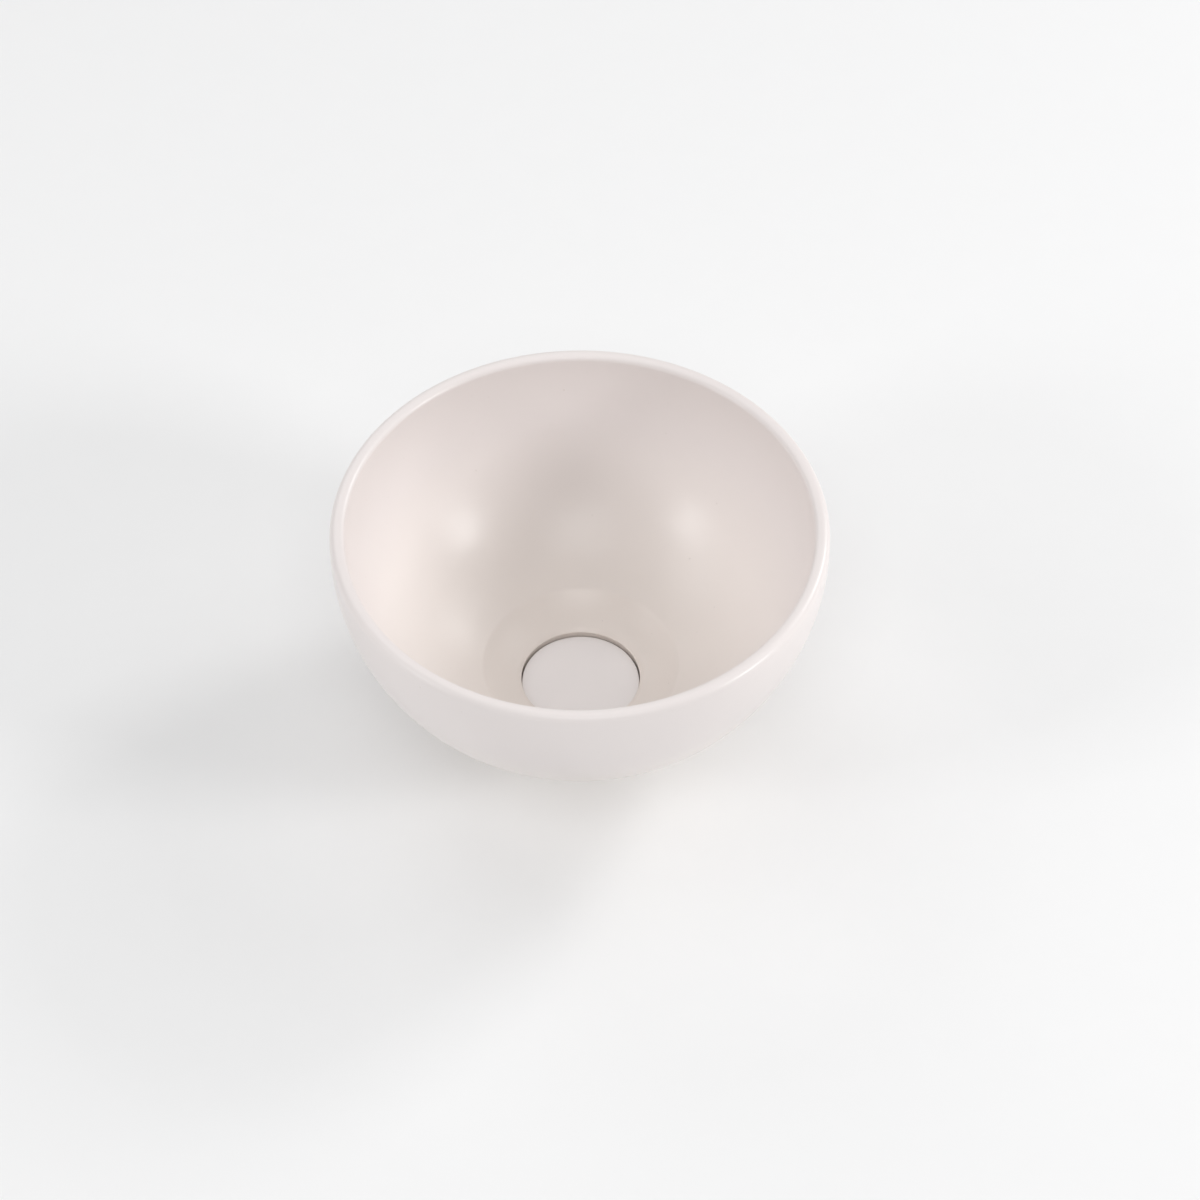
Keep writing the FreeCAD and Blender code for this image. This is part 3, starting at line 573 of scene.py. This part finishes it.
plating = {
    "colour": (0.80, 0.80, 0.81),
    "tarnish": (0.70, 0.69, 0.68),
    "roughness": 0.16,
    "glossSpread": 0.07,
    "markScale": 2600,
    "markDepth": 0.006,
}

waste = {
    "bore": 18.0,
    "root": 19.476,           # bottom of the thread
    "crest": 20.955,
    "pitch": 2.309,
    "end": -76.8,
    "chamfer": 1.2,
    "lowerThread": (-75.3, -55.6),  # heights where a coil starts and ends
    "upperThread": (-51.9, 7.6),
    "flangeUnderside": 11.2,
    "neckLength": 2.2,
    "flangeRadius": 31.0,
    "flangeTop": 13.7,
    "flangeRound": 1.0,
    "dishRadius": 23.5,
    "dishDepth": 2.0,
    "crossTop": -35.35,
    "armHeight": 6.0,
    "armWidth": 3.0,
    "bossRadius": 8.0,
    "bossBore": 5.08,
    "bossHeight": 8.0,
    "bossEdge": 0.6,
    "armIntoBoss": 1.5,       # an arm starts this far outside the boss's bore
    "armIntoWall": 0.3,       # and ends this far inside the thread's root
    "armEdge": 0.5,
    "edge": 0.3,
    "leadEdge": 0.2,
    "seatEdge": 0.4,
    "dishRound": 1.2,
    "boreRound": 1.0,
    "neckTaper": 1.4,         # the thread runs out over this length
    "threadInset": 0.2,       # middle of the diamond outside the root
    "threadFill": 0.49,       # half height of the diamond as a share of the pitch
    "stepsPerTurn": 64,
    "segments": 128,
}


def wasteSection(w):
    neck = w["flangeUnderside"] - w["neckLength"]
    corners = [
        (w["bore"], w["end"], w["edge"], 2),
        (w["root"] - w["chamfer"] / 2, w["end"], w["leadEdge"], 2),
        (w["root"], w["end"] + w["chamfer"] / 2),
        (w["root"], neck - w["neckTaper"]),
        (w["crest"], neck),
        (w["crest"], w["flangeUnderside"], w["seatEdge"], 3),
        (w["flangeRadius"], w["flangeUnderside"], w["seatEdge"], 3),
        (w["flangeRadius"], w["flangeTop"], w["flangeRound"], 6),
        (w["dishRadius"], w["flangeTop"], w["dishRound"], 4),
        (w["bore"], w["flangeTop"] - w["dishDepth"], w["boreRound"], 4),
    ]
    return sectionPoints(corners)


# a diamond outline screwed along the tail; its inner half stays inside the wall
def threadCoil(name, w, bottom, top):
    selectNothing()
    turns = (top - bottom) / w["pitch"]
    inset = w["threadInset"]
    height = (w["crest"] - w["root"] - inset) * mm
    bpy.ops.mesh.primitive_circle_add(vertices=4, radius=1, rotation=(math.pi / 2, 0, 0),
                                      location=((w["root"] + inset) * mm, 0, bottom * mm))
    coil = startPiece(name)
    coil.scale = (height, w["pitch"] * mm * w["threadFill"], 1)
    applyPlace(coil)
    screw = coil.modifiers.new("thread", "SCREW")
    screw.angle = fullTurn * turns
    screw.screw_offset = (top - bottom) * mm
    screw.steps = round(turns * w["stepsPerTurn"])
    screw.render_steps = screw.steps
    screw.use_merge_vertices = False
    applied(coil, screw)
    bpy.ops.object.mode_set(mode="EDIT")
    bpy.ops.mesh.select_all(action="SELECT")
    bpy.ops.mesh.fill_holes(sides=4)
    bpy.ops.mesh.select_all(action="SELECT")
    bpy.ops.mesh.normals_make_consistent(inside=False)
    bpy.ops.object.mode_set(mode="OBJECT")
    smoothed(coil, 50)
    return coil


def crossPieces(w):
    bottom = w["crossTop"] - w["bossHeight"]
    boss = turnedPiece("wasteBoss", sectionPoints([
        (w["bossBore"], bottom, w["edge"], 2),
        (w["bossRadius"], bottom, w["bossEdge"], 3),
        (w["bossRadius"], w["crossTop"], w["edge"], 2),
        (w["bossBore"], w["crossTop"], w["edge"], 2),
    ]), w["segments"] // 2)
    start, end = w["bossBore"] + w["armIntoBoss"], w["root"] - w["armIntoWall"]
    middle = (start + end) / 2
    arms = []
    for number in range(4):
        selectNothing()
        angle = number * math.pi / 2
        bpy.ops.mesh.primitive_cube_add(
            size=1, rotation=(0, 0, angle),
            location=(middle * math.cos(angle) * mm, middle * math.sin(angle) * mm,
                      (w["crossTop"] - w["armHeight"] / 2) * mm))
        arm = startPiece("wasteArm")
        arm.scale = ((end - start) * mm, w["armWidth"] * mm, w["armHeight"] * mm)
        applyPlace(arm)
        bpy.ops.object.mode_set(mode="EDIT")
        bpy.ops.mesh.select_all(action="SELECT")
        bpy.ops.mesh.bevel(offset=w["armEdge"] * mm, segments=3, affect="EDGES")
        bpy.ops.object.mode_set(mode="OBJECT")
        smoothed(arm)
        arms.append(arm)
    return [boss, *arms]


wastePiece = turnedPiece("wasteBody", wasteSection(waste), waste["segments"])
wastePiece = joined(wastePiece, [
    threadCoil("lowerThread", waste, *waste["lowerThread"]),
    threadCoil("upperThread", waste, *waste["upperThread"]),
    *crossPieces(waste),
])
platingMaterial = metalMaterial("plating", plating)
useMaterial(wastePiece, platingMaterial)
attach(wastePiece, "basin")
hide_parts("waste_body")
print("waste modelled")

turnedBrass = {
    "colour": (0.72, 0.56, 0.30),
    "tarnish": (0.58, 0.42, 0.21),
    "roughness": 0.28,
    "glossSpread": 0.09,
    "markScale": 3200,
    "markDepth": 0.01,
}
springWire = {
    "colour": (0.60, 0.60, 0.61),
    "tarnish": (0.47, 0.46, 0.45),
    "roughness": 0.3,
    "glossSpread": 0.08,
    "markScale": 4000,
    "markDepth": 0.004,
}
silicone = {
    "colour": (0.70, 0.70, 0.69),
    "shade": 0.93,
    "mottleScale": 60,
    "roughness": 0.42,
    "glossSpread": 0.06,
    "specular": 0.4,
    "grainScale": 900,
    "grainDepth": 0.01,
    "glow": 0.3,
}
blackRubber = {
    "colour": (0.045, 0.045, 0.047),
    "shade": 1.5,
    "mottleScale": 90,
    "roughness": 0.72,
    "glossSpread": 0.1,
    "specular": 0.35,
    "grainScale": 1500,
    "grainDepth": 0.03,
}
acetal = {
    "colour": (0.62, 0.62, 0.60),
    "shade": 0.94,
    "mottleScale": 70,
    "roughness": 0.38,
    "glossSpread": 0.07,
    "specular": 0.45,
    "grainScale": 1200,
    "grainDepth": 0.012,
    "glow": 0.15,
}
greyAcetal = dict(acetal, colour=(0.30, 0.31, 0.32), glow=0.05)
nylon = dict(acetal, colour=(0.66, 0.65, 0.61), roughness=0.45, grainScale=800)

brassMaterial = metalMaterial("turnedBrass", turnedBrass)
siliconeMaterial = mouldedMaterial("silicone", silicone)
rubberMaterial = mouldedMaterial("blackRubber", blackRubber)
nodeMaterials = {
    "cap_carrier": brassMaterial,
    "cap_seal": siliconeMaterial,
    "height_lock_nut": brassMaterial,
    "plunger": brassMaterial,
    "stem_wiper": rubberMaterial,
    "latch_housing": mouldedMaterial("acetal", acetal),
    "latch_rotor": mouldedMaterial("greyAcetal", greyAcetal),
    "latch_spring": metalMaterial("springWire", springWire),
    "latch_base": brassMaterial,
    "flange_gasket": siliconeMaterial,
    "under_gasket": rubberMaterial,
    "slip_washer": mouldedMaterial("nylon", nylon),
    "back_nut": platingMaterial,
}
for node, material in nodeMaterials.items():
    useMaterial(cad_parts[node], material)
print("solids finished")

floor = {
    "size": 12.0,
    "colour": (0.890, 0.891, 0.893),
    "sink": 0.05,             # below the foot, so that the two faces never meet
    "roughness": 0.85,
    "specular": 0.1,
    "grainScale": 40,
    "shade": 0.995,
}


def addFloor(f):
    selectNothing()
    bpy.ops.mesh.primitive_plane_add(size=f["size"], location=(0, 0, -f["sink"] * mm))
    plane = startPiece("floor")
    material, tree, shader = newMaterial("floorPaint", f["roughness"], specular=f["specular"])
    grain = spreadNoise(tree, noiseFrom(tree, f["grainScale"], 3), 0, 1)
    tree.links.new(mixColours(tree, grain, f["colour"], darker(f["colour"], f["shade"])),
                   shader.inputs["Base Color"])
    useMaterial(plane, material)


# azimuth and elevation of each lamp seen from the bowl, distance, size, power
lamps = {
    "keyRight": (-19, 24, 3.2, 0.76, 32.6),
    "backRight": (36, 31, 3.2, 0.76, 20.1),
    "fillLeft": (-156, 27, 3.2, 0.76, 17.6),
    "left": (180, 37, 3.0, 1.4, 8.6),
    "backLeft": (120, 37, 3.0, 1.4, 8.9),
    "highFront": (-90, 55, 3.0, 1.4, 15.5),
    "highRight": (27, 41, 3.0, 1.4, 9.9),
    "top": (120, 75, 3.0, 1.6, 5.5),
}
lampAim = 0.6                 # share of the bowl's height that the lamps point at
worldLight = {
    "strength": 0.362,
    "backdrop": 0.9,          # what the camera sees past the floor
}


def addLights():
    for name, (azimuth, elevation, distance, size, power) in lamps.items():
        lamp = bpy.data.lights.new(name, "AREA")
        lamp.shape = "SQUARE"
        lamp.size = size
        lamp.energy = power
        holder = bpy.data.objects.new(name, lamp)
        bpy.context.scene.collection.objects.link(holder)
        around = math.radians(azimuth)
        above = math.radians(elevation)
        aim = bowl["height"] * mm * lampAim
        holder.location = (distance * math.cos(above) * math.cos(around),
                           distance * math.cos(above) * math.sin(around),
                           aim + distance * math.sin(above))
        holder.rotation_euler = (math.pi / 2 - above, 0, around + math.pi / 2)
    world = bpy.data.worlds.new("studio")
    world.use_nodes = True
    tree = world.node_tree
    background = tree.nodes["Background"]
    background.inputs["Color"].default_value = (1, 1, 1, 1)
    seen = tree.nodes.new("ShaderNodeLightPath").outputs["Is Camera Ray"]
    strength = mapRange(tree, seen, 0, 1, worldLight["strength"], worldLight["backdrop"])
    tree.links.new(strength, background.inputs["Strength"])
    bpy.context.scene.world = world


camera = {
    "focalPixels": 3881.0,
    "imagePixels": 1200.0,
    "pitch": 48.95,           # degrees below the horizon
    "distance": 2166.7,       # to the middle of the rim
    "rimPixel": (579.8, 525.7),
    "sensor": 36.0,
}


def addCamera(c):
    pitch = math.radians(c["pitch"])
    half = c["imagePixels"] / 2
    aside = (c["rimPixel"][0] - half) / c["focalPixels"]
    below = (c["rimPixel"][1] - half) / c["focalPixels"]
    back = (0, -math.cos(pitch), math.sin(pitch))
    up = (0, math.sin(pitch), math.cos(pitch))
    reach = c["distance"] * mm
    data = bpy.data.cameras.new("camera")
    data.sensor_width = c["sensor"]
    data.lens = c["sensor"] * c["focalPixels"] / c["imagePixels"]
    holder = bpy.data.objects.new("camera", data)
    bpy.context.scene.collection.objects.link(holder)
    holder.location = (-reach * aside,
                       reach * (back[1] + below * up[1]),
                       bowl["height"] * mm + reach * (back[2] + below * up[2]))
    holder.rotation_euler = (math.pi / 2 - pitch, 0, 0)
    bpy.context.scene.camera = holder


addFloor(floor)
addLights()
addCamera(camera)
bpy.context.scene.view_settings.view_transform = "Standard"
print("studio set")
